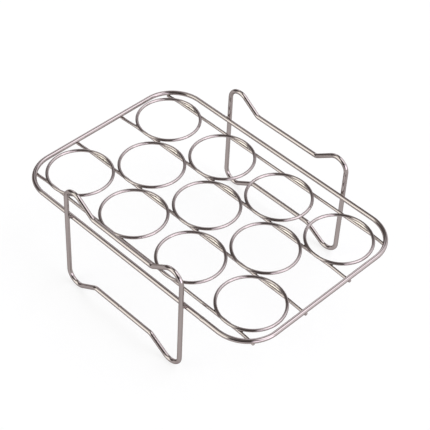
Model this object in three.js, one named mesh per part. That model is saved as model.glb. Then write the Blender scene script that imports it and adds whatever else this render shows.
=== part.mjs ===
// A welded wire rack of eleven rings, which stands on two leg loops over the floor of a basket.
// Lengths are millimetres. +X runs along the long side, +Y goes to the back, +Z is up.
// The origin is the middle of the rectangle of its four feet, which stand on z = 0.

import * as THREE from "three";

// Wire
const FRAME_WIRE = 3; // diameter of the wire of the frame and of both leg loops
const GRID_WIRE = 2; // diameter of the wire of the rings and of the long wires

// Rings
const RING_BORE = 39.7; // inner diameter
const RING_GAP = 6.3; // clear space between two rings of one row
const ROW_GAP = 2; // clear space between a ring and its neighbour in the next row
const ROWS = [
  { letter: "a", count: 4 },
  { letter: "b", count: 3 },
  { letter: "c", count: 4 },
]; // front, middle and back, each middle ring between two outer ones

// Frame
const FRAME_END_GAP = 1.65; // clear space from the last ring of a row to the short side
const FRAME_SIDE_GAP = 5.65; // clear space from the outer rows to the long side
const FRAME_CORNER = 23.5; // corner radius of the centreline
const FRAME_BASE = 52.5; // height of the underside above the feet

// Long wires
const END_OVERHANG = 0.9; // how far an end stands out past the frame
const PRESS_CLEARANCE = 0.3; // how far a pressed end's flat starts before the frame

// Leg loops
const LOOP_WIDTH = 100; // between the centrelines of one loop's uprights
const HUMP_RISE = 25.5; // from the top of the frame to the top of a loop
const HUMP_SPAN = 24.5; // from an upright to the corner of the upper bar
const HUMP_ANGLE = 35; // slope in degrees down to the upper bar
const FOOT_SPAN = 25; // from an upright to the corner of the lower bar
const FOOT_ANGLE = 32; // slope in degrees up to the lower bar
const END_BEND = 8; // bend radius of the centreline at feet and humps
const BAR_BEND = 4.5; // bend radius of the centreline at both ends of a bar

// Facets
const FRAME_SIDES = 12; // flats round the thick wire
const GRID_SIDES = 12; // flats round a long wire
const RING_SIDES = 8; // flats round a ring's wire
const BEND_STEP = 10; // turn in degrees from one facet of a bend to the next
const LEAST_TURN = 0.5; // smallest turn in degrees that has a facet of its own
const RING_STEPS = 36; // facets along a ring

// Ring grid
const frameRadius = FRAME_WIRE / 2;
const gridRadius = GRID_WIRE / 2;
const ringRadius = RING_BORE / 2 + gridRadius;
const ringReach = ringRadius + gridRadius;
const ringPitch = 2 * ringReach + RING_GAP;
const rowPitch = Math.sqrt((2 * ringReach + ROW_GAP) ** 2 - (ringPitch / 2) ** 2);
const longestRow = Math.max(...ROWS.map((row) => row.count));
const middleRow = (ROWS.length - 1) / 2;

// Frame centreline, with the arc centre of its corners
const halfLength = ((longestRow - 1) / 2) * ringPitch + ringReach + FRAME_END_GAP + frameRadius;
const halfWidth = middleRow * rowPitch + ringReach + FRAME_SIDE_GAP + frameRadius;
const cornerX = halfLength - FRAME_CORNER;
const cornerY = halfWidth - FRAME_CORNER;

// Heights of the centrelines: a long wire's axis is level with the frame's underside, and the rings lie on top of it.
const frameLevel = FRAME_BASE + frameRadius;
const longWireLevel = FRAME_BASE;
const ringLevel = longWireLevel + gridRadius + gridRadius;

// Stainless steel with the sheen of polished wire
function steel(color, roughness) {
  return new THREE.MeshStandardMaterial({ color, roughness, metalness: 1 });
}

const THICK_STEEL = { color: 0x9a918c, roughness: 0.22 };
const THIN_STEEL = { color: 0x8f8681, roughness: 0.26 };

function piece(name, geometry, finish, place) {
  const mesh = new THREE.Mesh(geometry, steel(finish.color, finish.roughness));
  mesh.name = name;
  mesh.position.copy(place);
  return mesh;
}

// The flats of a wire's round section, as corners of a polygon whose sides touch the circle.
function sectionCorners(radius, sides) {
  const reach = radius / Math.cos(Math.PI / sides);
  return Array.from({ length: sides }, (_, i) => {
    const angle = ((2 * i + 1) * Math.PI) / sides;
    return new THREE.Vector2(reach * Math.cos(angle), reach * Math.sin(angle));
  });
}

// A skin over rings of points, each ring turning by the right-hand rule about the way along the wire.
function skin(rings, closed) {
  const sides = rings[0].length;
  const last = rings.length - 1;
  const index = [];
  rings.forEach((_, i) => {
    if (i === last && !closed) return;
    const here = i * sides;
    const next = ((i + 1) % rings.length) * sides;
    for (let j = 0; j < sides; j++) {
      const k = (j + 1) % sides;
      index.push(here + j, here + k, next + j);
      index.push(here + k, next + k, next + j);
    }
  });
  if (!closed) {
    for (let j = 1; j < sides - 1; j++) {
      index.push(0, j + 1, j);
      index.push(last * sides, last * sides + j, last * sides + j + 1);
    }
  }
  const geometry = new THREE.BufferGeometry().setFromPoints(rings.flat());
  geometry.setIndex(index);
  geometry.computeVertexNormals();
  return geometry;
}

const left = (v) => new THREE.Vector2(-v.y, v.x);

// Turns one corner of a wire's centreline into a bend: the corners of short runs that all touch the bend's arc.
// A run's heading is a multiple of the step, so the lowest run of a foot is level.
function bend(before, corner, after) {
  const way = corner.point.clone().sub(before.point).normalize();
  const wayOut = after.point.clone().sub(corner.point).normalize();
  const turn = Math.atan2(way.cross(wayOut), way.dot(wayOut));
  const side = Math.sign(turn);
  const setback = corner.radius * Math.tan(Math.abs(turn) / 2);
  const centre = corner.point
    .clone()
    .addScaledVector(way, -setback)
    .addScaledVector(left(way), side * corner.radius);
  const step = THREE.MathUtils.degToRad(BEND_STEP);
  const least = THREE.MathUtils.degToRad(LEAST_TURN);
  const start = side * way.angle();
  const end = start + Math.abs(turn);
  const headings = [start];
  for (let k = Math.ceil((start + least) / step); k * step < end - least; k++) {
    headings.push(k * step);
  }
  headings.push(end);
  return headings.slice(1).map((heading, i) => {
    const middle = (side * (heading + headings[i])) / 2;
    const reach = corner.radius / Math.cos((heading - headings[i]) / 2);
    const out = new THREE.Vector2(Math.sin(middle), -Math.cos(middle));
    return centre.clone().addScaledVector(out, side * reach);
  });
}

// The centreline of a closed wire that is bent at each of its corners.
function bentLoop(corners) {
  return corners.flatMap((corner, i) =>
    bend(corners.at(i - 1), corner, corners[(i + 1) % corners.length]),
  );
}

function cornerAt(x, y, radius) {
  return { point: new THREE.Vector2(x, y), radius };
}

// A closed round wire along a flat centreline. toSpace puts a point of the centreline's plane, with a height over
// that plane, in the piece's own space. Each ring of points lies in the plane that halves its corner.
function loopOfWire(centreline, radius, sides, toSpace) {
  const section = sectionCorners(radius, sides);
  const rings = centreline.map((point, i) => {
    const before = point.clone().sub(centreline.at(i - 1));
    const after = centreline[(i + 1) % centreline.length].clone().sub(point);
    const across = left(before.normalize());
    const halving = across.clone().add(left(after.normalize())).normalize();
    const stretch = 1 / halving.dot(across);
    return section.map(({ x, y }) => {
      const flat = point.clone().addScaledVector(halving, x * stretch);
      return toSpace(flat.x, flat.y, y);
    });
  });
  return skin(rings, true);
}

// The outer frame is a rectangle with rounded corners, level with its plane.
function outerFrame() {
  const corners = [
    [-1, -1],
    [1, -1],
    [1, 1],
    [-1, 1],
  ].map(([sx, sy]) => cornerAt(sx * halfLength, sy * halfWidth, FRAME_CORNER));
  const geometry = loopOfWire(
    bentLoop(corners),
    frameRadius,
    FRAME_SIDES,
    (x, y, height) => new THREE.Vector3(x, y, height),
  );
  return piece("outer_frame", geometry, THICK_STEEL, new THREE.Vector3(0, 0, frameLevel));
}

// A ring is its wire's section turned once about the ring's axis.
function ring(name, x, y) {
  const profile = sectionCorners(gridRadius, RING_SIDES).map((corner) =>
    corner.setX(ringRadius + corner.x),
  );
  const geometry = new THREE.LatheGeometry([...profile, profile[0]], RING_STEPS);
  geometry.rotateX(Math.PI / 2);
  return piece(name, geometry, THIN_STEEL, new THREE.Vector3(x, y, ringLevel));
}

// How far along X a line at this distance from the middle meets a curve that runs outside the frame's centreline.
function frameReach(y, outside) {
  const past = Math.abs(y) - cornerY;
  if (past <= 0) return halfLength + outside;
  return cornerX + Math.sqrt((FRAME_CORNER + outside) ** 2 - past ** 2);
}

// A long wire is straight. Each end is pressed half flat where it passes under the frame, which lies on the flat,
// and stands out a little past the frame.
function longWire(name, y) {
  const section = sectionCorners(gridRadius, GRID_SIDES);
  const end = frameReach(y, frameRadius) + END_OVERHANG;
  const flatFrom = frameReach(Math.abs(y) + gridRadius, -frameRadius - PRESS_CLEARANCE);
  const ringAt = (x, top) =>
    section.map((corner) => new THREE.Vector3(x, corner.x, Math.min(corner.y, top)));
  const rings = [
    ringAt(-end, 0),
    ringAt(-flatFrom, 0),
    ringAt(-flatFrom + gridRadius, gridRadius),
    ringAt(flatFrom - gridRadius, gridRadius),
    ringAt(flatFrom, 0),
    ringAt(end, 0),
  ];
  const place = new THREE.Vector3(0, y, longWireLevel);
  return piece(name, skin(rings, false), THIN_STEEL, place);
}

// How far a bend's outermost point stays short of its corner, for a turn from an upright onto a slope.
function cornerLoss(angle, radius) {
  return radius * ((1 + Math.sin(angle)) / Math.cos(angle) - 1);
}

// A leg loop is one closed wire in an upright plane: two uprights, a bar that dips between two humps on top,
// and a bar that rises between two feet at the bottom.
function legLoop(name, side) {
  const foot = THREE.MathUtils.degToRad(FOOT_ANGLE);
  const hump = THREE.MathUtils.degToRad(HUMP_ANGLE);
  const uprightX = LOOP_WIDTH / 2;
  const footZ = frameRadius - cornerLoss(foot, END_BEND);
  const lowerBarZ = footZ + FOOT_SPAN * Math.tan(foot);
  const humpZ = frameLevel + HUMP_RISE + cornerLoss(hump, END_BEND);
  const upperBarZ = humpZ - HUMP_SPAN * Math.tan(hump);
  const half = [
    cornerAt(uprightX - FOOT_SPAN, lowerBarZ, BAR_BEND),
    cornerAt(uprightX, footZ, END_BEND),
    cornerAt(uprightX, humpZ, END_BEND),
    cornerAt(uprightX - HUMP_SPAN, upperBarZ, BAR_BEND),
  ];
  const otherHalf = half
    .map(({ point, radius }) => cornerAt(-point.x, point.y, radius))
    .reverse();
  const geometry = loopOfWire(
    bentLoop([...half, ...otherHalf]),
    frameRadius,
    FRAME_SIDES,
    (x, z, height) => new THREE.Vector3(x, -height, z),
  );
  const place = new THREE.Vector3(0, side * (halfWidth + frameRadius + frameRadius), 0);
  return piece(name, geometry, THICK_STEEL, place);
}

const rack = new THREE.Group();
rack.name = "ring_rack";

rack.add(outerFrame());

// The long wires run midway between the rows and just outside them, so each ring lies on two of them.
for (let i = 0; i <= ROWS.length; i++) {
  rack.add(longWire(`long_wire_${i + 1}`, (i - ROWS.length / 2) * rowPitch));
}

ROWS.forEach(({ letter, count }, row) => {
  const y = (row - middleRow) * rowPitch;
  for (let i = 0; i < count; i++) {
    rack.add(ring(`ring_${letter}${i + 1}`, (i - (count - 1) / 2) * ringPitch, y));
  }
});

rack.add(legLoop("front_leg_loop", -1));
rack.add(legLoop("back_leg_loop", 1));

export default rack;
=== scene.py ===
"""Dresses the welded wire ring rack: its frame, leg loops, long wires and rings as drawn steel wire, the welds that
join them, and a pale studio. All lengths in the mesh functions are metres."""

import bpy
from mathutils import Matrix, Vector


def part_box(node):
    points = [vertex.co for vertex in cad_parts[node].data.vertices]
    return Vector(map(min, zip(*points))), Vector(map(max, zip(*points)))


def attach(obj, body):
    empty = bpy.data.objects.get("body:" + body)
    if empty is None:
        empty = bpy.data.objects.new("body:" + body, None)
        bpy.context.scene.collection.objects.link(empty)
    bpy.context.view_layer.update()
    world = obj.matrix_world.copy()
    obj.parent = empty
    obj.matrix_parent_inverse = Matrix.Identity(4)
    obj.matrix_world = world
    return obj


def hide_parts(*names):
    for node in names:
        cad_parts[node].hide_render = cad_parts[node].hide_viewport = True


bl_info = {
    "name": "Wire Ring Rack",
    "version": (1, 0, 0),
    "blender": (4, 5, 0),
    "location": "View3D > Sidebar > Rack",
    "description": "Builds the wires, welds and studio of a welded steel ring rack",
    "category": "Object",
}

from math import cos, pi, radians, sin

import bpy
import numpy as np
from bpy.props import FloatProperty, FloatVectorProperty, IntProperty, PointerProperty
from bpy.types import Operator, Panel, PropertyGroup
from mathutils import Matrix, Vector

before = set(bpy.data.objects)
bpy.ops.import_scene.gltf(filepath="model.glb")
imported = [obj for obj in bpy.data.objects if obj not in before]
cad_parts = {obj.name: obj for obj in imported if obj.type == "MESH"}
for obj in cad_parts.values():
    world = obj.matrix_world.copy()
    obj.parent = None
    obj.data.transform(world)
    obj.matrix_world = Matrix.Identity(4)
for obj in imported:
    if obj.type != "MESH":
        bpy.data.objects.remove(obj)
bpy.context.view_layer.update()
MM = 0.001
UP = np.array([0.0, 0.0, 1.0])
ALONG = np.array([1.0, 0.0, 0.0])
ACROSS = np.array([0.0, 1.0, 0.0])


# ---------------------------------------------------------------- where the wires run


def node_box(node):
    """Lowest and highest corner of a solid of the frame, as arrays."""
    low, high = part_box(node)
    return np.array(low), np.array(high)


FRAME_LOW, FRAME_HIGH = node_box("outer_frame")
LEG_LOW, LEG_HIGH = node_box("front_leg_loop")
FRAME_GAUGE = FRAME_HIGH[2] - FRAME_LOW[2]
LEG_GAUGE = LEG_HIGH[1] - LEG_LOW[1]
FRAME_HALF = FRAME_HIGH[:2] - FRAME_GAUGE / 2
FRAME_LEVEL = FRAME_LOW[2] + FRAME_GAUGE / 2
LEG_HALF = LEG_HIGH[0] - LEG_GAUGE / 2
LEG_PLANE = -LEG_LOW[1] - LEG_GAUGE / 2
RINGS = [f"ring_{row}{place + 1}" for row, count in (("a", 4), ("b", 3), ("c", 4)) for place in range(count)]
LONG_WIRES = [f"long_wire_{place + 1}" for place in range(4)]
RING_BOXES = np.array([node_box(node) for node in RINGS])
RING_CENTRES = RING_BOXES.mean(axis=1)
RING_GAUGE = RING_BOXES[0, 1, 2] - RING_BOXES[0, 0, 2]
RING_RADIUS = (RING_BOXES[0, 1, 0] - RING_BOXES[0, 0, 0] - RING_GAUGE) / 2
WIRE_BOXES = np.array([node_box(node) for node in LONG_WIRES])
WIRE_GAUGE = WIRE_BOXES[0, 1, 2] - WIRE_BOXES[0, 0, 2]
WIRE_PLACES = WIRE_BOXES[:, :, 1].mean(axis=1)
WIRE_LEVEL = WIRE_BOXES[0, 0, 2] + WIRE_GAUGE / 2
WIRE_REACH = WIRE_BOXES[:, 1, 0]

# Rows of faces along each bend and each straight run of a closed wire, along a long wire, and round a ring.
FRAME_STEPS = (48, 160)
LEG_STEPS = (28, 120)
WIRE_STEPS = 420
RING_STEPS = 180


def unit(vectors):
    """Each vector divided by its own length."""
    return vectors / np.linalg.norm(vectors, axis=-1, keepdims=True)


def full_turn(count):
    """That many angles, evenly spaced round a full turn."""
    return np.arange(count) * 2 * pi / count


def eased(share):
    """A share of the way that starts and stops softly: s^2 * (3 - 2s), for s kept between 0 and 1."""
    share = share.clip(0, 1)
    return share * share * (3 - 2 * share)


def bell(distance, spread):
    """1 at no distance, and less beyond: exp(-(distance / spread)^2)."""
    return np.exp(-((distance / spread) ** 2))


def bent_path(corners, bend_radii, arc_steps, run_steps):
    """Centre line of a closed bent wire, worked out for all corners at once.

    Each corner turns on an arc that touches both its sides. With the half angle h between the sides, the arc's centre
    is radius / sin(h) from the corner along the bisector, and a point of it is
    centre + radius * (sin(t) * onwards - cos(t) * inwards), for t from h - 90 degrees to 90 degrees - h.
    A straight run joins the end of each arc to the start of the next. Returns the points and their unit tangents.
    """
    to_last = unit(np.roll(corners, 1, axis=0) - corners)
    to_next = unit(np.roll(corners, -1, axis=0) - corners)
    half = np.arccos((to_last * to_next).sum(axis=1)) / 2
    inwards = unit(to_last + to_next)[:, None]
    onwards = unit(to_next - to_last)[:, None]
    radii = bend_radii[:, None, None]
    centres = corners[:, None] + inwards * radii / np.sin(half)[:, None, None]
    turn = (pi / 2 - half)[:, None, None] * np.linspace(-1, 1, arc_steps)[None, :, None]
    arcs = centres + radii * (np.sin(turn) * onwards - np.cos(turn) * inwards)
    arc_tangents = np.sin(turn) * inwards + np.cos(turn) * onwards
    share = (np.arange(1, run_steps) / run_steps)[None, :, None]
    runs = arcs[:, -1:] * (1 - share) + np.roll(arcs[:, :1], -1, axis=0) * share
    run_tangents = np.broadcast_to(to_next[:, None], runs.shape)
    points = np.concatenate([arcs, runs], axis=1).reshape(-1, 3)
    return points, np.concatenate([arc_tangents, run_tangents], axis=1).reshape(-1, 3)


def way_along(points):
    """Distance of each point from the first, measured along the wire."""
    steps = np.linalg.norm(np.diff(points, axis=0), axis=1)
    return np.concatenate([[0.0], np.cumsum(steps)])


def sharpness(points, tangents, radius):
    """How sharply a closed wire is bent at each point: its radius over the radius of the bend.

    It is radius * |next tangent - last tangent| / |next point - last point|.
    """
    turn = np.linalg.norm(np.roll(tangents, -1, axis=0) - np.roll(tangents, 1, axis=0), axis=1)
    way = np.linalg.norm(np.roll(points, -1, axis=0) - np.roll(points, 1, axis=0), axis=1)
    return radius * turn / way


# ---------------------------------------------------------------- meshes


def grid_faces(shapes, rows, columns, closed):
    """Faces of `shapes` equal grids whose last column joins the first.

    Vertex number = (shape * rows + row) * columns + column. Where the rows close too, the last joins the first, and
    otherwise a fan closes each end on a pole vertex that follows all the grids, two to a shape.
    Returns quads, triangles and the UVs of their corners, one unit for the whole way round and along.
    """
    shape, row, column = np.meshgrid(
        np.arange(shapes), np.arange(rows if closed else rows - 1), np.arange(columns), indexing="ij"
    )

    def number(at_row, at_column):
        return ((shape * rows + at_row % rows) * columns + at_column % columns).ravel()

    def corner_uvs(*corners):
        """Pairs of u and v, one pair for each corner of a face, as an array (face, corner, uv)."""
        return np.stack([np.stack(np.broadcast_arrays(*corner), axis=1) for corner in corners], axis=1)

    quads = np.stack(
        [number(row, column), number(row + 1, column), number(row + 1, column + 1), number(row, column + 1)], axis=1
    )
    u, v, du, dv = row.ravel() / rows, column.ravel() / columns, 1 / rows, 1 / columns
    quad_uvs = corner_uvs((u, v), (u + du, v), (u + du, v + dv), (u, v + dv))
    if closed:
        return quads, np.zeros((0, 3), int), quad_uvs, np.zeros((0, 3, 2))
    shape, column = (part.ravel() for part in np.meshgrid(np.arange(shapes), np.arange(columns), indexing="ij"))
    first = shape * rows * columns
    last = first + (rows - 1) * columns
    pole = shapes * rows * columns + 2 * shape
    after = (column + 1) % columns
    start_fan = np.stack([first + column, first + after, pole], axis=1)
    end_fan = np.stack([last + after, last + column, pole + 1], axis=1)
    v = column / columns
    start_uvs = corner_uvs((0.0, v), (0.0, v + dv), (0.0, v + dv / 2))
    end_uvs = corner_uvs((1.0, v + dv), (1.0, v), (1.0, v + dv / 2))
    return quads, np.concatenate([start_fan, end_fan]), quad_uvs, np.concatenate([start_uvs, end_uvs])


def skin(name, grids, closed, lay, material, nodes, welds, bend=0.0):
    """Makes a piece from an array of grids (shape, row, column, xyz) and fixes it to the rack's one body.

    lay is the same array in the wire's own measure (way along, and the two ways across), for the drawn lines. The heat
    of a vertex is exp(-(distance to the nearest weld / its spread)^2). bend says how sharply the wire is bent at each
    row of a closed grid.
    """
    _, rows, columns, _ = grids.shape
    quads, fans, quad_uvs, fan_uvs = grid_faces(len(grids), rows, columns, closed)
    places, lays = grids.reshape(-1, 3), lay.reshape(-1, 3)
    if not closed:
        places = np.concatenate([places, grids[:, [0, -1]].mean(axis=2).reshape(-1, 3)])
        lays = np.concatenate([lays, lay[:, [0, -1]].mean(axis=2).reshape(-1, 3)])
    mesh = bpy.data.meshes.new(name)
    mesh.from_pydata(places.tolist(), [], quads.tolist() + fans.tolist())
    mesh.shade_smooth()
    uvs = np.concatenate([quad_uvs.ravel(), fan_uvs.ravel()])
    mesh.uv_layers.new(name="wire_wrap").data.foreach_set("uv", uvs.astype(np.float32))

    def attribute(label, kind, field, values):
        mesh.attributes.new(label, kind, "POINT").data.foreach_set(field, values.ravel().astype(np.float32))

    nearest = np.min(np.linalg.norm(places[:, None] - welds[None, :, :3], axis=2) / welds[None, :, 3], axis=1)
    attribute("lay", "FLOAT_VECTOR", "vector", lays)
    attribute("heat", "FLOAT", "value", bell(nearest, 1.0))
    if closed:
        attribute("bend", "FLOAT", "value", np.broadcast_to(np.reshape(bend, (-1, 1)), (rows, columns)))
    mesh.materials.append(material)
    mesh.update()
    piece = bpy.data.objects.new(name, mesh)
    bpy.context.scene.collection.objects.link(piece)
    if nodes:
        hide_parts(*nodes)
    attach(piece, "root")
    return piece


def round_wire(points, tangents, normal, radius, around, start=0.0):
    """Round skin of a flat path: point = centre + radius * (cos(a) * side + sin(a) * normal), side = tangent x normal.

    start shifts the drawn lines along the wire. Returns the grid and its lay, shaped (1, rows, columns, 3).
    """
    angle = full_turn(around)
    out, up = (np.broadcast_to(radius * part(angle), (len(points), around)) for part in (np.cos, np.sin))
    side = np.cross(tangents, normal)
    grid = points[:, None] + out[..., None] * side[:, None] + up[..., None] * normal
    way = np.broadcast_to((way_along(points) + start)[:, None], out.shape)
    return grid[None], np.stack([way, out, up], axis=2)[None]


def butt_swell(grid, points, apart, height, spread, open_ways, share=1.0):
    """A ground butt weld: the skin moves outwards by height * share * exp(-(way from the weld / spread)^2).

    It moves only along the axes whose open_ways is 1, so that it stays inside the solids' box.
    """
    outwards = unit(grid[0] - points[:, None])
    swell = height * bell(apart, spread)[:, None] * share
    return grid + (swell[..., None] * outwards * np.array(open_ways))[None]


# ---------------------------------------------------------------- where the welds are

# How far the heat tint of each kind of weld spreads.
RING_HEAT, END_HEAT, LEG_HEAT, BUTT_HEAT = 1.5 * MM, 1.9 * MM, 2.4 * MM, 1.6 * MM


def ring_crossings():
    """Each ring lies on two long wires and crosses each at its centre +- half the chord that the wire cuts off.

    Rows of the result, one for a ring and a wire: x and y of the ring's centre, y of the wire, half the chord, and
    which of the four wires it is.
    """
    offset = WIRE_PLACES[None, :] - RING_CENTRES[:, 1:2]
    ring, wire = np.nonzero(np.abs(offset) < RING_RADIUS)
    chord = np.sqrt(RING_RADIUS**2 - offset[ring, wire] ** 2)
    return np.stack([RING_CENTRES[ring, 0], RING_CENTRES[ring, 1], WIRE_PLACES[wire], chord, wire], axis=1)


def ring_welds():
    """The places where rings and long wires cross, as rows of x, y, z."""
    x, _, y, chord, _ = ring_crossings().T
    touch = np.full(2 * len(x), WIRE_LEVEL + WIRE_GAUGE / 2)
    return np.stack([np.concatenate([x - chord, x + chord]), np.tile(y, 2), touch], axis=1)


def end_welds(corner_radius):
    """The frame lies on the ends of the long wires, which pass under its centre line.

    Rows of the result: x, y, z, frame direction (x, y).
    """
    wire = np.repeat(np.arange(4), 2)
    hand = np.tile([-1.0, 1.0], 4)
    y = WIRE_PLACES[wire]
    over = np.maximum(np.abs(y) - (FRAME_HALF[1] - corner_radius), 0)
    x = hand * (FRAME_HALF[0] - corner_radius + np.sqrt(corner_radius**2 - over**2))
    radial = np.stack([x - hand * (FRAME_HALF[0] - corner_radius), np.sign(y) * over], axis=1) / corner_radius
    return np.stack([x, y, np.full(8, FRAME_LOW[2]), -radial[:, 1], radial[:, 0]], axis=1)


def fall_spans(corner_radius):
    """For each long wire, how far from the middle it crosses its last ring, and how far the frame's centre line."""
    x, _, _, chord, wire = ring_crossings().T
    last_ring = [np.max((np.abs(x) + chord)[wire == place]) for place in range(4)]
    return np.column_stack([last_ring, np.abs(end_welds(corner_radius)[::2, 0])])


def wire_fall(x, last_ring, frame_line, dip):
    """How far a long wire lies below its level at x, so that its end goes under the frame.

    It is dip * s^2 * (3 - 2s), for s from 0 at the last ring that the wire crosses to 1 at the frame's centre line.
    """
    return dip * eased((np.abs(x) - last_ring) / (frame_line - last_ring))


def leg_welds():
    """Each upright touches the outside of the frame's long side. Rows of the result: x, y, z."""
    hand, side = np.meshgrid([-1.0, 1.0], [-1.0, 1.0])
    y = side.ravel() * (FRAME_HALF[1] + FRAME_GAUGE / 2)
    return np.stack([hand.ravel() * LEG_HALF, y, np.full(4, FRAME_LEVEL)], axis=1)


def weld_heat(sizes):
    """All welds as rows of x, y, z and the spread of their heat."""
    butts = np.array(
        [
            [sizes.frame_butt, -FRAME_HALF[1], FRAME_LEVEL],
            [sizes.leg_butt, -LEG_PLANE, sizes.lower_bar],
            [-sizes.leg_butt, LEG_PLANE, sizes.lower_bar],
        ]
    )
    ends = end_welds(sizes.frame_corner)[:, :3]
    kinds = ((ring_welds(), RING_HEAT), (ends, END_HEAT), (leg_welds(), LEG_HEAT), (butts, BUTT_HEAT))
    return np.concatenate([np.column_stack([places, np.full(len(places), spread)]) for places, spread in kinds])


# ---------------------------------------------------------------- materials

# Patterns of the finishes: how often they repeat in a metre along the wire and in the two ways across it, their detail
# and their roughness.
FINE_LINES = ((45, 7000, 7000), 3, 0.5)
STREAKS = ((28, 1300, 1300), 2, 0.5)
SLOW_WAVES = ((70, 190, 190), 1, 0.5)
HANDLING = ((260, 420, 420), 4, 0.65)
DENTS = ((420, 700, 700), 2, 0.5)
WELD_LUMPS = ((1700, 1700, 1700), 3, 0.6)
WELD_SCALE = ((5200, 5200, 5200), 2, 0.5)
FLOOR_GRAIN = ((3, 3, 3), 2, 0.5)


class Value:
    """A shader socket that can stand in a sum. Each operator adds one Math node."""

    def __init__(self, tree, socket):
        self.tree, self.socket = tree, socket

    def __add__(self, other):
        return self.tree.math("ADD", self, other)

    def __sub__(self, other):
        return self.tree.math("SUBTRACT", self, other)

    def __rsub__(self, other):
        return self.tree.math("SUBTRACT", other, self)

    def __mul__(self, other):
        return self.tree.math("MULTIPLY", self, other)

    __radd__, __rmul__ = __add__, __mul__


class Tree:
    """The nodes of a material or of the world."""

    def __init__(self, owner):
        owner.use_nodes = True
        self.nodes, self.links = owner.node_tree.nodes, owner.node_tree.links
        self.nodes.clear()

    def add(self, kind, settings=None, inputs=None, output=0):
        """One node: its settings first, then the values or links of its inputs. Returns one output."""
        node = self.nodes.new(kind)
        for name, value in (settings or {}).items():
            setattr(node, name, value)
        for name, value in (inputs or {}).items():
            if isinstance(value, Value):
                self.links.new(value.socket, node.inputs[name])
            else:
                node.inputs[name].default_value = value
        return Value(self, node.outputs[output]) if node.outputs else None

    def siblings(self, value, *outputs):
        """Several outputs of the node that a value comes from."""
        return [Value(self, value.socket.node.outputs[output]) for output in outputs]

    def math(self, operation, first, second=0.0):
        return self.add("ShaderNodeMath", {"operation": operation}, {0: first, 1: second})

    def smooth(self, value, start, end, low=0.0, high=1.0):
        """Runs smoothly from low to high while value runs from start to end."""
        inputs = {0: value, 1: start, 2: end, 3: low, 4: high}
        return self.add("ShaderNodeMapRange", {"interpolation_type": "SMOOTHSTEP"}, inputs)

    def mix(self, factor, first, second, blend="MIX"):
        """Two colours, mixed by a factor."""
        settings = {"data_type": "RGBA", "blend_type": blend}
        return self.add("ShaderNodeMix", settings, {0: factor, 6: first, 7: second}, output=2)

    def tinted(self, value, colour):
        """A colour, times a value."""
        grey = self.add("ShaderNodeCombineColor", {}, {0: value, 1: value, 2: value})
        return self.mix(1.0, grey, rgba(colour), "MULTIPLY")

    def noise(self, vector, stretch, detail, rough):
        """Noise on a vector that is first multiplied by stretch, a frequency for each direction."""
        scaled = self.add("ShaderNodeVectorMath", {"operation": "MULTIPLY"}, {0: vector, 1: stretch})
        inputs = {"Vector": scaled, "Scale": 1.0, "Detail": detail, "Roughness": rough}
        return self.add("ShaderNodeTexNoise", {}, inputs)

    def attribute(self, name, output):
        """An attribute of the mesh, as a vector (output 1) or as a number (output 2)."""
        return self.add("ShaderNodeAttribute", {"attribute_name": name}, output=output)

    def bare_steel(self, finish, colour, roughness, height):
        """The surface of bare metal, with a height that turns its normals."""
        bump = self.add("ShaderNodeBump", {}, {"Strength": 1.0, "Distance": 1.0, "Height": height})
        inputs = {"Base Color": colour, "Metallic": 1.0, "Specular Tint": rgba(finish.edge_tint)}
        inputs |= {"Roughness": roughness, "Normal": bump}
        shader = self.add("ShaderNodeBsdfPrincipled", {}, inputs)
        self.add("ShaderNodeOutputMaterial", {}, {"Surface": shader})


def rgba(colour):
    """A colour with full alpha."""
    return (*colour, 1.0)


def drawn_steel(name, finish):
    """Drawn and polished steel wire: lines along it, slow waves, marks of hands and bender, a heat tint at welds."""
    material = bpy.data.materials.new(name)
    tree = Tree(material)
    lay, heat, bend = tree.attribute("lay", 1), tree.attribute("heat", 2), tree.attribute("bend", 2)
    fine, streak, slow, marks, dents = (
        tree.noise(lay, *pattern) for pattern in (FINE_LINES, STREAKS, SLOW_WAVES, HANDLING, DENTS)
    )
    # Some drawn lines are darker, and so, by about a third, are handled patches.
    steel = tree.mix(tree.smooth(streak, 0.3, 0.7), rgba(finish.steel_dark), rgba(finish.steel))
    steel = tree.mix(tree.smooth(marks, 0.55, 0.8, 0.0, 0.35), steel, rgba(finish.steel_dark))
    # The tint's edge is ragged, and it never covers the steel wholly.
    tint = tree.smooth(heat + marks * 0.3 - 0.15, 0.35, 1.0, 0.0, 0.8)
    colour = tree.mix(tint, steel, rgba(finish.heat_tint))
    # Handled patches, streaks and tinted places are duller than the polish.
    handled = tree.smooth(marks, 0.35, 0.8, finish.roughness * 0.85, finish.roughness * 1.5)
    roughness = handled + streak * 0.03 + tint * 0.18
    lines = fine * (finish.line_depth * 0.15) + streak * (finish.line_depth * 0.6)
    tree.bare_steel(finish, colour, roughness, lines + slow * finish.waviness + dents * bend * finish.bend_marks)
    return material


def weld_steel(name, finish):
    """Melted and frozen steel: lumpy, and browner than the wire in its hollows."""
    material = bpy.data.materials.new(name)
    tree = Tree(material)
    place = tree.add("ShaderNodeTexCoord", output=3)
    lumps, scale = (tree.noise(place, *pattern) for pattern in (WELD_LUMPS, WELD_SCALE))
    colour = tree.mix(tree.smooth(lumps, 0.25, 0.55), rgba(finish.heat_tint), rgba(finish.weld))
    height = lumps * finish.weld_lumps + scale * finish.weld_scale
    # Duller where the scale is thick.
    roughness = tree.smooth(scale, 0.3, 0.7, 0.08, 0.18)
    tree.bare_steel(finish, colour, roughness, height)
    return material


def finish_of(name):
    """The rack's material of that name, made the first time that it is asked for."""
    found = bpy.data.materials.get(name)
    if found:
        return found
    make = weld_steel if name == "weld" else drawn_steel
    return make(name, bpy.context.scene.rack_finish)


# ---------------------------------------------------------------- settings

# The camera was solved in pixels of a square image.
FOCAL_PIXELS, IMAGE_WIDTH, SENSOR_WIDTH = 1362.9097, 430, 36.0


def length(name, description, default):
    """A setting that is a length."""
    return FloatProperty(name=name, description=description, default=default, unit="LENGTH")


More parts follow.
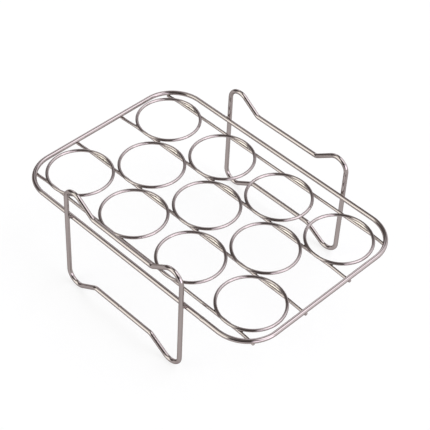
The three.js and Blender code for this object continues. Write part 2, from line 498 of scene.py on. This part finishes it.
def lengths(name, description, default, subtype="NONE"):
    """A setting that is several lengths."""
    return FloatVectorProperty(
        name=name, description=description, default=default, size=len(default), subtype=subtype, unit="LENGTH"
    )


def hue(name, description, default, most=1):
    """A setting that is a colour."""
    return FloatVectorProperty(
        name=name, description=description, default=default, subtype="COLOR", min=0, max=most
    )


def bearing(name, description, degrees):
    """A setting that is an angle."""
    return FloatProperty(name=name, description=description, default=radians(degrees), unit="ROTATION")


def portion(name, description, default):
    """A setting from 0 to 1."""
    return FloatProperty(name=name, description=description, default=default, min=0, max=1)


class RackSizes(PropertyGroup):
    """Sizes that the frame's solids don't give."""

    frame_corner: length("Frame corner", "Radius of the frame's corners, on its centre line", 23.5 * MM)
    foot_bend: length("Foot bend", "Radius of the bends at feet and humps, on the centre line", 8 * MM)
    bar_bend: length("Bar bend", "Radius of the bends at both bars, on the centre line", 4.5 * MM)
    lower_bar: length("Lower bar", "Height of the lower bar's centre line", 10.689 * MM)
    upper_bar: length("Upper bar", "Height of the upper bar's centre line", 69.71 * MM)
    lower_turn: length("Lower bar corner", "Distance of the lower bar's corner from the middle", 25 * MM)
    upper_turn: length("Upper bar corner", "Distance of the upper bar's corner from the middle", 25.5 * MM)
    foot_corner: length("Foot corner", "Height at which upright and foot slope would meet", -4.933 * MM)
    hump_corner: length("Hump corner", "Height at which upright and hump slope would meet", 86.868 * MM)
    frame_butt: length("Frame butt weld", "Place of the frame's closing weld along its front side", 64.5 * MM)
    leg_butt: length("Leg butt weld", "Place of each leg loop's closing weld along its lower bar", -2.5 * MM)
    wire_end: lengths(
        "Wire ends",
        "How far the ends of each long wire lie past the frame's centre line",
        (0.4 * MM, 1.1 * MM, 1.1 * MM, 0.5 * MM),
    )
    end_dip: length("End dip", "How far the end of a long wire falls, to pass under the frame", 0.95 * MM)
    around: IntProperty(name="Faces round", description="Faces round each wire", default=28, min=8, max=64)


class RackWelds(PropertyGroup):
    """Sizes of the welds."""

    end_weld: lengths(
        "End welds", "Half length, half width and waist of a weld at a long wire's end", (1.15 * MM, 0.9 * MM, 0.7 * MM)
    )
    leg_weld: lengths(
        "Leg welds", "Half length, half width and waist of a weld at an upright", (1.5 * MM, 1.1 * MM, 0.8 * MM)
    )
    ring_past: lengths(
        "Past the crossing", "Least and most that a ring's weld runs on beyond its crossings", (2.4 * MM, 3.4 * MM)
    )
    spatter: lengths("Spatter", "Radius of the smallest and the largest bead", (0.22 * MM, 0.46 * MM))
    spatter_count: IntProperty(name="Spatter beads", description="Beads at each upright", default=12, min=1, max=40)
    frame_swell: length("Frame butt swell", "Height of the frame's closing weld", 0.3 * MM)
    leg_swell: length("Leg butt swell", "Height of each leg loop's closing weld", 0.1 * MM)


class RackFinish(PropertyGroup):
    """Colours and surface of the steel."""

    steel: hue("Steel", "Colour of the polished steel", (0.38, 0.33, 0.321))
    steel_dark: hue("Dark steel", "Colour of the darker drawn lines", (0.33, 0.287, 0.278))
    edge_tint: hue("Edge tint", "Tint of the steel where it turns away from the eye", (0.42, 0.39, 0.38))
    heat_tint: hue("Heat tint", "Colour of the wire beside a weld", (0.354, 0.308, 0.229))
    weld: hue("Weld", "Colour of the frozen weld metal", (0.432, 0.386, 0.371))
    roughness: portion("Roughness", "Roughness of the polished steel", 0.045)
    line_depth: length("Line depth", "Depth of the drawn lines", 0.002 * MM)
    waviness: length("Waviness", "Height of the slow waves along a wire", 0.006 * MM)
    bend_marks: length("Bend marks", "Depth of the bender's marks, in a bend as sharp as the wire", 0.2 * MM)
    weld_lumps: length("Weld lumps", "Height of the lumps on a weld", 0.03 * MM)
    weld_scale: length("Weld scale", "Height of the fine scale on a weld", 0.004 * MM)


class RackStudio(PropertyGroup):
    """Floor, light and camera."""

    floor: hue("Floor", "Colour of the floor", (0.96, 0.96, 0.95))
    backdrop: portion("Backdrop", "Share of plain white in the floor as the camera and the metal see it", 0.75)
    rose_light: hue("Right light", "Colour of the soft light on the right", (0.99, 1.0, 1.07), 2)
    pink_light: hue("Low right light", "Colour of the strong soft light on the right", (1.02, 0.98, 1.12), 2)
    cream_light: hue("Left light", "Colour of the soft light on the left", (0.95, 1.0, 0.935), 2)
    room_light: hue("Room", "Colour of the dim light from everywhere else", (1.08, 1.0, 0.97), 2)
    walls: portion("Walls", "Strength of the dim light from the room's walls", 0.17)
    ceiling: portion("Ceiling", "Strength of the dim light from the room's ceiling", 0.23)
    strength: FloatProperty(name="Strength", description="Strength of all the soft lights", default=0.92, min=0)
    azimuth: bearing("Azimuth", "Camera's angle round the rack, from the front towards the right", 42.97447)
    elevation: bearing("Elevation", "Camera's angle above the horizon", 44.35467)
    roll: bearing("Roll", "Camera's turn about its own axis", 3.17477)
    distance: length("Distance", "Camera's distance from its target", 0.8477097)
    lens: FloatProperty(
        name="Lens", description="Focal length in millimetres", default=FOCAL_PIXELS / IMAGE_WIDTH * SENSOR_WIDTH
    )
    target: lengths("Target", "Point that the camera looks at", (0.0033568, 0.0040387, 0.0456699), "XYZ")


# ---------------------------------------------------------------- wires

# Where a point is not on the run that has the butt weld, it counts as this far from the weld.
FAR = 1.0
# Lengths of the closing butt welds, and the turn round the frame's wire at which its own was ground flush.
FRAME_BUTT_LENGTH, LEG_BUTT_LENGTH = 0.9 * MM, 0.5 * MM
GROUND_SIDE = -2.2
# Points of a leg loop this near to the lower bar's level are on the bar.
BAR_MARGIN = 0.1 * MM
# Where the pattern of the drawn lines starts, in metres, before each wire's own shift, so that no two wires are alike.
LEG_START, WIRE_START, RING_START = 0.7, 3.1, 9.3
# The flat of a long wire's end starts this far before the frame's centre line and is full a ramp further on. There the
# wire is wider by this share.
PRESS_START, PRESS_RAMP, PRESS_WIDTH = 2.8 * MM, 1.0 * MM, 0.1
# The edge of a cut end is rounded over this length, down to this share of the wire's radius.
END_EDGE, END_FACE = 0.4 * MM, 0.72
# Shares of a long wire's reach at which its last rows lie, and up to which the rows between them are even.
END_ROWS, EVEN_SHARE = [1, 0.9995, 0.998], 0.996


class RACK_OT_outer_frame(Operator):
    """The rounded rectangle of thick wire, closed by a butt weld in its front side"""

    bl_idname = "rack.outer_frame"
    bl_label = "Outer frame"

    def execute(self, context):
        sizes, welds = context.scene.rack_sizes, context.scene.rack_welds
        x, y = FRAME_HALF
        corners = np.array([[-x, -y, FRAME_LEVEL], [x, -y, FRAME_LEVEL], [x, y, FRAME_LEVEL], [-x, y, FRAME_LEVEL]])
        points, tangents = bent_path(corners, np.full(4, sizes.frame_corner), *FRAME_STEPS)
        grid, lay = round_wire(points, tangents, UP, FRAME_GAUGE / 2, sizes.around)
        apart = np.where(points[:, 1] < -y + MM, points[:, 0] - sizes.frame_butt, FAR)
        unground = 0.5 - 0.5 * np.cos(full_turn(sizes.around) - GROUND_SIDE)
        grid = butt_swell(grid, points, apart, welds.frame_swell, FRAME_BUTT_LENGTH, [1.0, 1.0, 0.0], unground)
        skin("frame_rod", grid, True, lay, finish_of("rod_steel"), ["outer_frame"], weld_heat(sizes))
        return {"FINISHED"}


class RACK_OT_leg_loops(Operator):
    """The two closed loops of thick wire that stand outside the frame's long sides"""

    bl_idname = "rack.leg_loops"
    bl_label = "Leg loops"

    def execute(self, context):
        sizes, welds = context.scene.rack_sizes, context.scene.rack_welds
        # The corners of one half, from the lower bar up: distance from the middle, height, bend radius.
        half = np.array(
            [
                [sizes.lower_turn, sizes.lower_bar, sizes.bar_bend],
                [LEG_HALF, sizes.foot_corner, sizes.foot_bend],
                [LEG_HALF, sizes.hump_corner, sizes.foot_bend],
                [sizes.upper_turn, sizes.upper_bar, sizes.bar_bend],
            ]
        )
        mirrored = half[::-1] * np.array([-1, 1, 1])
        loop = np.concatenate([mirrored[-1:], half, mirrored[:-1]])
        for name, node, side in (("leg_rod_front", "front_leg_loop", -1), ("leg_rod_back", "back_leg_loop", 1)):
            corners = np.stack([-side * loop[:, 0], np.full(8, side * LEG_PLANE), loop[:, 1]], axis=1)
            points, tangents = bent_path(corners, loop[:, 2], *LEG_STEPS)
            grid, lay = round_wire(points, tangents, ACROSS, LEG_GAUGE / 2, sizes.around, LEG_START + side)
            on_bar = np.abs(points[:, 2] - sizes.lower_bar) < BAR_MARGIN
            apart = np.where(on_bar, points[:, 0] + side * sizes.leg_butt, FAR)
            grid = butt_swell(grid, points, apart, welds.leg_swell, LEG_BUTT_LENGTH, [1.0, 0.0, 1.0])
            bend = sharpness(points, tangents, LEG_GAUGE / 2)
            skin(name, grid, True, lay, finish_of("rod_steel"), [node], weld_heat(sizes), bend)
        return {"FINISHED"}


class RACK_OT_long_wires(Operator):
    """The four thin wires that carry the rings, their ends bent down and pressed to pass under the frame"""

    bl_idname = "rack.long_wires"
    bl_label = "Long wires"

    def execute(self, context):
        sizes = context.scene.rack_sizes
        spans = fall_spans(sizes.frame_corner)
        radius = WIRE_GAUGE / 2
        # How much of the upper half's height is left where the frame lies on it.
        pressed = (FRAME_LOW[2] - WIRE_LEVEL + sizes.end_dip) / radius
        end_rows = np.array(END_ROWS)
        shares = np.concatenate([-end_rows, np.linspace(-EVEN_SHARE, EVEN_SHARE, WIRE_STEPS), end_rows[::-1]])
        for place, node in enumerate(LONG_WIRES):
            last_ring, frame_line = spans[place]
            reach = min(WIRE_REACH[place], frame_line + sizes.wire_end[place])
            x = shares * reach
            fall = wire_fall(x, last_ring, frame_line, sizes.end_dip)
            points = np.stack([x, np.full(len(x), WIRE_PLACES[place]), WIRE_LEVEL - fall], axis=1)
            tangents = unit(np.stack([np.gradient(x), 0 * x, -np.gradient(fall)], axis=1))
            grid, lay = round_wire(points, tangents, ACROSS, radius, sizes.around, WIRE_START + place)
            centres = points[None, :, None]
            off = grid - centres
            press = eased((np.abs(x) - frame_line + PRESS_START) / PRESS_RAMP)
            flat = 1 - (1 - pressed) * press[None, :, None]
            off[..., 2] = np.where(off[..., 2] > 0, off[..., 2] * flat, off[..., 2])
            left = (reach - np.abs(x)).clip(0, END_EDGE) / END_EDGE
            full = END_FACE + (1 - END_FACE) * np.sqrt(1 - (1 - left) ** 2)
            size = np.stack([np.ones(len(x)), full * (1 + PRESS_WIDTH * press), full], axis=1)[None, :, None]
            name = "carrier_wire_" + str(place + 1)
            steel = finish_of("wire_steel")
            skin(name, centres + off * size, False, lay, steel, [node], weld_heat(sizes))
        return {"FINISHED"}


class RACK_OT_rings(Operator):
    """The eleven open rings, in rows of four, three and four"""

    bl_idname = "rack.rings"
    bl_label = "Rings"

    def execute(self, context):
        sizes = context.scene.rack_sizes
        turn = full_turn(RING_STEPS)
        circle = np.stack([np.cos(turn), np.sin(turn), 0 * turn], axis=1)
        tangents = np.stack([-np.sin(turn), np.cos(turn), 0 * turn], axis=1)
        for place, node in enumerate(RINGS):
            points = RING_CENTRES[place] + RING_RADIUS * circle
            grid, lay = round_wire(points, tangents, UP, RING_GAUGE / 2, sizes.around, RING_START + place)
            name = "hoop_" + node[-2:]
            skin(name, grid, True, lay, finish_of("wire_steel"), [node], weld_heat(sizes))
        return {"FINISHED"}


# ---------------------------------------------------------------- welds

WEB_SEED, END_SEED, LEG_SEED, SPATTER_SEED, BEAD_SEED = 16, 12, 13, 14, 15
# How uneven a weld is: pairs of turns and size, each a wave round a foot or along a web.
FOOT_WAVES = ((2, 0.1), (3, 0.08), (5, 0.05))
WEB_WAVES = ((2.3, 0.1), (4.9, 0.06), (9.3, 0.03))
FOOT_AROUND, FOOT_STEPS = 32, 13
WEB_ROWS, WEB_STEPS = 97, 9
# A foot reaches at most this share of its wire's radius down the wire's side, and is sunk a little into the wire.
FOOT_REACH, FOOT_SINK = 0.93, 0.05 * MM
# Spread angles of a web at its ends, between the crossings, and what a crossing adds over this length.
WEB_THIN, WEB_MIDDLE, WEB_CROSSING, CROSSING_LENGTH = radians(5), radians(21), radians(25), 2.2 * MM
# A web's feet lie at this share of the wires' radii, and its sides are drawn in by this share of what they stand apart.
WEB_SINK, WEB_WAIST = 0.97, 0.2
# The beads lie this far from a leg weld's middle, this far out from it, and are spread this much taller than wide.
SPATTER_REACH, SPATTER_DEPTH, SPATTER_TALL = (0.7 * MM, 1.65 * MM), (-0.5 * MM, 0.3 * MM), 1.1
BEAD_RINGS, BEAD_AROUND = 11, 20


def unevenness(turn, waves, count, chance):
    """The sum of size * sin(turns * turn + a seeded start), with a start of its own for each of count shapes."""
    return sum(size * np.sin(turns * turn + chance.uniform(0, 2 * pi, (count, 1))) for turns, size in waves)


def fillets(places, lower, upper, normal, radii, size, seed):
    """Saddle-shaped welds between two crossing wires that touch at a point, all worked out at once.

    lower and upper are the directions of the wires, radii their two radii, and normal points from the lower wire to the
    upper. In the plane that touches both wires, a foot is an ellipse, long along its own wire and wide across it. Its
    height is that wire's surface there, radius - sqrt(radius^2 - across^2). The skin of the weld is, round the whole
    foot, the curve (1-t)^2 * lower foot + 2t(1-t) * waist + t^2 * upper foot. Seeded waves make each one uneven.
    """
    chance = np.random.default_rng(seed)
    long, wide, waist = size
    turn = full_turn(FOOT_AROUND)
    middle = unit(unit(lower) + unit(upper))
    beside = np.cross(normal, middle)
    flat = np.cos(turn)[None, :, None] * middle[:, None] + np.sin(turn)[None, :, None] * beside[:, None]

    def foot(direction, radius):
        """How far the foot reaches in each direction of the plane, and how deep the wire's surface lies there."""
        share_along = (flat * direction[:, None]).sum(axis=2)
        share_across = np.abs((flat * np.cross(normal, direction)[:, None]).sum(axis=2))
        uneven = 1 + unevenness(turn[None], FOOT_WAVES, len(places), chance)
        rim = uneven / np.sqrt((share_along / long) ** 2 + (share_across / wide) ** 2)
        rim = np.minimum(rim, FOOT_REACH * radius / np.maximum(share_across, 1e-6))
        return rim, radius - np.sqrt(radius**2 - (rim * share_across) ** 2)

    lower_rim, lower_depth = foot(lower, radii[0])
    upper_rim, upper_depth = foot(upper, radii[1])
    t = np.linspace(0, 1, FOOT_STEPS)[None, :, None]
    rim = (1 - t) ** 2 * lower_rim[:, None] + 2 * t * (1 - t) * waist + t**2 * upper_rim[:, None]
    rise = t**2 * (upper_depth[:, None] + FOOT_SINK) - (1 - t) ** 2 * (lower_depth[:, None] + FOOT_SINK)
    rise = rise + t * (1 - t) * (upper_depth - lower_depth)[:, None]
    grid = places[:, None, None] + rim[..., None] * flat[:, None] + rise[..., None] * normal[:, None, None]
    return grid[:, :, ::-1]


def webs(crossings, spans, dip, past, seed):
    """Long welds that fill the narrow gap between a ring and a long wire, past both crossings, all worked out at once.

    At a station along the wire, u is the direction from the wire's centre to the ring's, and v is square to it. With
    the spread angle b, a foot is radius * (cos(b) * u +- sin(b) * v) from each centre, and the side of the weld is the
    curve (1-t)^2 * wire foot + 2t(1-t) * waist + t^2 * ring foot. With s from -1 to 1 along the weld and c the bell
    curve of the distance from a crossing, b is thin + (1 - s^2)^0.6 * (middle + crossing * c) * (1 + seeded waves).
    """
    chance = np.random.default_rng(seed)
    count = len(crossings)
    centre_x, centre_y, wire_y, chord, place = (part[:, None] for part in crossings.T)
    last_ring, frame_line = (spans[place.astype(int), side] for side in (0, 1))
    share = np.sin(np.linspace(-pi / 2, pi / 2, WEB_ROWS))[None]
    before, beyond = chance.uniform(*past, (2, count, 1))
    x = centre_x + share * (chord + np.where(share < 0, before, beyond))
    ring_y = centre_y + np.sign(wire_y - centre_y) * np.sqrt(RING_RADIUS**2 - (x - centre_x) ** 2)
    wire = np.stack([x, wire_y + 0 * x, WIRE_LEVEL - wire_fall(x, last_ring, frame_line, dip)], axis=2)
    ring = np.stack([x, ring_y, WIRE_LEVEL + (WIRE_GAUGE + RING_GAUGE) / 2 + 0 * x], axis=2)
    u = unit(ring - wire)
    v = np.cross(ALONG, u)[:, :, None]
    u = u[:, :, None]
    crossing = WEB_CROSSING * bell(np.abs(x - centre_x) - chord, CROSSING_LENGTH)
    uneven = 1 + unevenness(pi * share, WEB_WAVES, count, chance)
    spread = WEB_THIN + (1 - share**2) ** 0.6 * (WEB_MIDDLE + crossing) * uneven
    sine, cosine = np.sin(spread)[..., None, None], np.cos(spread)[..., None, None]
    t = np.linspace(0, 1, WEB_STEPS)[None, None, :, None]
    sides = []
    for hand in (1, -1):
        low = wire[:, :, None] + WEB_SINK * WIRE_GAUGE / 2 * (cosine * u + hand * sine * v)
        high = ring[:, :, None] - WEB_SINK * RING_GAUGE / 2 * (cosine * u - hand * sine * v)
        waist = (low + high) / 2 - hand * sine * WEB_WAIST * WIRE_GAUGE / 2 * v
        curve = (1 - t) ** 2 * low + 2 * t * (1 - t) * waist + t**2 * high
        sides.append(curve if hand > 0 else curve[:, :, ::-1])
    return np.concatenate(sides, axis=2)[:, ::-1]


def beads(centres, radii, seed):
    """Small round spatter: balls whose radius swells by seeded waves of their own two angles.

    It is radius * (1 + 0.18 * sin(2 * turn + one start) * sin(tilt) + 0.15 * cos(3 * tilt + another start)).
    """
    chance = np.random.default_rng(seed)
    tilt = (np.linspace(0, pi, BEAD_RINGS + 2)[1:-1])[None, :, None]
    turn = full_turn(BEAD_AROUND)[None, None, :]
    first, second = chance.uniform(0, 2 * pi, (2, len(centres), 1, 1))
    waves = 0.18 * np.sin(2 * turn + first) * np.sin(tilt) + 0.15 * np.cos(3 * tilt + second)
    swell = radii[:, None, None] * (1 + waves)
    ball = np.broadcast_arrays(np.sin(tilt) * np.cos(turn), np.sin(tilt) * np.sin(turn), np.cos(tilt))
    return centres[:, None, None] + swell[..., None] * np.stack(ball, axis=3)


def spatter(legs, welds):
    """Beads round each leg weld, at seeded places: reach * (cos(a), tall * sin(a)) in the plane of the leg loop."""
    chance = np.random.default_rng(SPATTER_SEED)
    each = (len(legs), welds.spatter_count)
    turn = chance.uniform(0, 2 * pi, each)
    reach, depth = (chance.uniform(*limits, each) for limits in (SPATTER_REACH, SPATTER_DEPTH))
    off = np.stack([reach * np.cos(turn), depth, SPATTER_TALL * reach * np.sin(turn)], axis=2)
    centres = (legs[:, None] + off).reshape(-1, 3)
    return beads(centres, chance.uniform(*welds.spatter, len(centres)), BEAD_SEED)


class RACK_OT_welds(Operator):
    """The welds between rings and long wires, between frame and wire ends, and between frame and legs"""

    bl_idname = "rack.welds"
    bl_label = "Welds"

    def execute(self, context):
        sizes, welds = context.scene.rack_sizes, context.scene.rack_welds
        heat, metal = weld_heat(sizes), finish_of("weld")
        grid = webs(ring_crossings(), fall_spans(sizes.frame_corner), sizes.end_dip, welds.ring_past, WEB_SEED)
        skin("ring_weld_spots", grid, False, grid, metal, [], heat)

        ends = end_welds(sizes.frame_corner)
        outwards = np.sign(ends[:, :1])
        frame_way = np.column_stack([ends[:, 3:], np.zeros(8)])
        frame_way *= np.sign(frame_way[:, 1:2]) * outwards
        up = np.broadcast_to(UP, (8, 3))
        radii = (WIRE_GAUGE / 2, FRAME_GAUGE / 2)
        grid = fillets(ends[:, :3], ALONG * outwards, frame_way, up, radii, welds.end_weld, END_SEED)
        skin("end_weld_spots", grid, False, grid, metal, [], heat)

        legs = leg_welds()
        out = ACROSS * np.sign(legs[:, 1:2])
        frame_way, leg_way = np.broadcast_to(ALONG, (4, 3)), np.broadcast_to(UP, (4, 3))
        grid = fillets(legs, frame_way, leg_way, out, (FRAME_GAUGE / 2, LEG_GAUGE / 2), welds.leg_weld, LEG_SEED)
        skin("leg_weld_spots", grid, False, grid, metal, [], heat)

        grid = spatter(legs, welds)
        skin("leg_weld_beads", grid, False, grid, metal, [], heat)
        return {"FINISHED"}


# ---------------------------------------------------------------- studio

# Soft lights, in degrees round the compass and above the horizon: middle, half width, softness, lower edge, upper edge,
# softness, strength, colour.
SOFT_LIGHTS = {
    "right": (-4, 25, 5, -15, 30, 10, 3.25, "pink_light"),
    "high right": (50, 49, 8, 39, 77, 5, 2.95, "rose_light"),
    "low right": (50, 39, 20, -10, 31, 8, 1.9, "rose_light"),
    "far right": (105, 19, 8, -15, 17, 6, 1.2, "rose_light"),
    "back strip": (140, 14, 9, 0, 42, 6, 1.75, "rose_light"),
    "front left": (250, 23, 6, -15, 43, 8, 3.05, "cream_light"),
    "high left": (220, 31, 12, 48, 78, 6, 1.5, "cream_light"),
}
# The room is dimmer by the last of these, a share, behind the camera.
DARK_SIDE = (312, 24, 10, -30, 34, 8, 0.8)
# Between these heights the light of the walls turns into that of the ceiling.
CEILING_FROM, CEILING_TO = 30, 80
# The floor's size, its rows of faces, and how dark its grain is beside its colour.
FLOOR_RADIUS, FLOOR_RINGS, FLOOR_AROUND, FLOOR_SHADE = 6.0, 24, 96, 0.99


def studio_world(studio):
    """Soft light on a dim grey room, from a few wide patches of it.

    A patch is strength * across * over. across falls smoothly from 1 to 0 where the direction is half its width from
    its middle, and over rises at its lower edge and falls at its upper edge.
    """
    world = bpy.data.worlds.new("studio")
    bpy.context.scene.world = world
    tree = Tree(world)
    way = tree.add("ShaderNodeTexCoord", output=0)
    x, y, z = tree.siblings(tree.add("ShaderNodeSeparateXYZ", {}, {0: way}), 0, 1, 2)
    turn = tree.math("ARCTAN2", y, x) * (180 / pi)
    rise = tree.math("ARCSINE", z) * (180 / pi)

    def patch(middle, half, soft, low, high, edge, strength):
        wrapped = tree.add("ShaderNodeMath", {"operation": "WRAP"}, {0: turn - middle, 1: 180.0, 2: -180.0})
        across = tree.smooth(tree.math("ABSOLUTE", wrapped), half - soft, half + soft, strength, 0.0)
        over = tree.smooth(rise, low - edge, low + edge) * tree.smooth(rise, high - edge, high + edge, 1.0, 0.0)
        return across * over

    room = tree.smooth(rise, CEILING_FROM, CEILING_TO, studio.walls, studio.ceiling) * (1 - patch(*DARK_SIDE))
    light = tree.tinted(room, studio.room_light)
    for *shape, strength, tint in SOFT_LIGHTS.values():
        soft_light = tree.tinted(patch(*shape, strength * studio.strength), getattr(studio, tint))
        light = tree.mix(1.0, light, soft_light, "ADD")
    background = tree.add("ShaderNodeBackground", {}, {"Color": light, "Strength": 1.0})
    tree.add("ShaderNodeOutputWorld", {}, {"Surface": background})


def floor_material(studio):
    """Matte and pale. The camera, reflections and glass see a share of plain white in it, and the rest with shadows."""
    material = bpy.data.materials.new("floor")
    tree = Tree(material)
    grain = tree.noise(tree.add("ShaderNodeTexCoord", output=3), *FLOOR_GRAIN)
    darker = rgba([part * FLOOR_SHADE for part in studio.floor])
    shade = tree.mix(tree.smooth(grain, 0.3, 0.7), darker, rgba(studio.floor))
    inputs = {"Base Color": shade, "Roughness": 1.0, "Specular IOR Level": 0.0}
    matte = tree.add("ShaderNodeBsdfPrincipled", {}, inputs)
    white = tree.add("ShaderNodeEmission", {}, {"Color": (1.0, 1.0, 1.0, 1.0), "Strength": 1.0})
    rays = tree.add("ShaderNodeLightPath")
    seen = sum(tree.siblings(rays, "Is Camera Ray", "Is Glossy Ray", "Is Transmission Ray"))
    surface = tree.add("ShaderNodeMixShader", {}, {0: seen * studio.backdrop, 1: matte, 2: white})
    tree.add("ShaderNodeOutputMaterial", {}, {"Surface": surface})
    return material


def studio_floor(studio):
    """A wide disc: a point at share s of the way out and turn a is radius * s^2 * (cos a, sin a). A fan closes it."""
    reach = FLOOR_RADIUS * np.linspace(0, 1, FLOOR_RINGS + 1)[1:, None] ** 2
    turn = full_turn(FLOOR_AROUND)[None]
    grid = np.stack([reach * np.cos(turn), reach * np.sin(turn), 0 * reach * turn], axis=2)
    row, column = np.meshgrid(np.arange(FLOOR_RINGS - 1), np.arange(FLOOR_AROUND), indexing="ij")
    first, after = (row * FLOOR_AROUND + part for part in (column, (column + 1) % FLOOR_AROUND))
    quads = np.stack([first, first + FLOOR_AROUND, after + FLOOR_AROUND, after], axis=2).reshape(-1, 4)
    inner = np.arange(FLOOR_AROUND)
    pole = np.full(FLOOR_AROUND, FLOOR_RINGS * FLOOR_AROUND)
    fan = np.stack([pole, inner, (inner + 1) % FLOOR_AROUND], axis=1)
    mesh = bpy.data.meshes.new("floor")
    mesh.from_pydata(grid.reshape(-1, 3).tolist() + [[0, 0, 0]], [], quads.tolist() + fan.tolist())
    mesh.materials.append(floor_material(studio))
    floor = bpy.data.objects.new("floor", mesh)
    bpy.context.scene.collection.objects.link(floor)


def studio_camera(studio):
    """Looks at the target from azimuth and elevation, then turns about its own axis."""
    level = cos(studio.elevation)
    back = Vector((sin(studio.azimuth) * level, -cos(studio.azimuth) * level, sin(studio.elevation)))
    right = (-back).cross(Vector(UP)).normalized()
    up = right.cross(-back)
    turned_right = right * cos(studio.roll) + up * sin(studio.roll)
    turned_up = up * cos(studio.roll) - right * sin(studio.roll)
    data = bpy.data.cameras.new("camera")
    data.sensor_fit, data.sensor_width, data.lens = "HORIZONTAL", SENSOR_WIDTH, studio.lens
    data.clip_start, data.clip_end = 0.01, 50.0
    camera = bpy.data.objects.new("camera", data)
    bpy.context.scene.collection.objects.link(camera)
    place = Matrix.Translation(Vector(studio.target) + back * studio.distance)
    camera.matrix_world = place @ Matrix((turned_right, turned_up, back)).transposed().to_4x4()
    bpy.context.scene.camera = camera


class RACK_OT_studio(Operator):
    """A pale floor, soft light and the camera"""

    bl_idname = "rack.studio"
    bl_label = "Studio"

    def execute(self, context):
        studio = context.scene.rack_studio
        studio_floor(studio)
        studio_world(studio)
        studio_camera(studio)
        context.scene.view_settings.view_transform = "Standard"
        return {"FINISHED"}


# ---------------------------------------------------------------- the add-on


OPERATORS = (RACK_OT_studio, RACK_OT_outer_frame, RACK_OT_leg_loops, RACK_OT_long_wires, RACK_OT_rings, RACK_OT_welds)
GROUPS = {"rack_sizes": RackSizes, "rack_welds": RackWelds, "rack_finish": RackFinish, "rack_studio": RackStudio}


class RACK_PT_panel(Panel):
    """Lists what the rack is built from"""

    bl_label = "Wire ring rack"
    bl_idname = "RACK_PT_panel"
    bl_space_type = "VIEW_3D"
    bl_region_type = "UI"
    bl_category = "Rack"

    def draw(self, context):
        for operator in OPERATORS:
            self.layout.operator(operator.bl_idname)
        for name, group in GROUPS.items():
            box = self.layout.box()
            for setting in group.__annotations__:
                box.prop(getattr(context.scene, name), setting)


def register():
    for name, group in GROUPS.items():
        bpy.utils.register_class(group)
        setattr(bpy.types.Scene, name, PointerProperty(type=group))
    for part in (*OPERATORS, RACK_PT_panel):
        bpy.utils.register_class(part)


def unregister():
    for part in (RACK_PT_panel, *reversed(OPERATORS)):
        bpy.utils.unregister_class(part)
    for name, group in reversed(GROUPS.items()):
        delattr(bpy.types.Scene, name)
        bpy.utils.unregister_class(group)


def main():
    register()
    bpy.ops.rack.studio()
    bpy.ops.rack.outer_frame()
    bpy.ops.rack.leg_loops()
    bpy.ops.rack.long_wires()
    bpy.ops.rack.rings()
    bpy.ops.rack.welds()


if __name__ == "__main__":
    main()
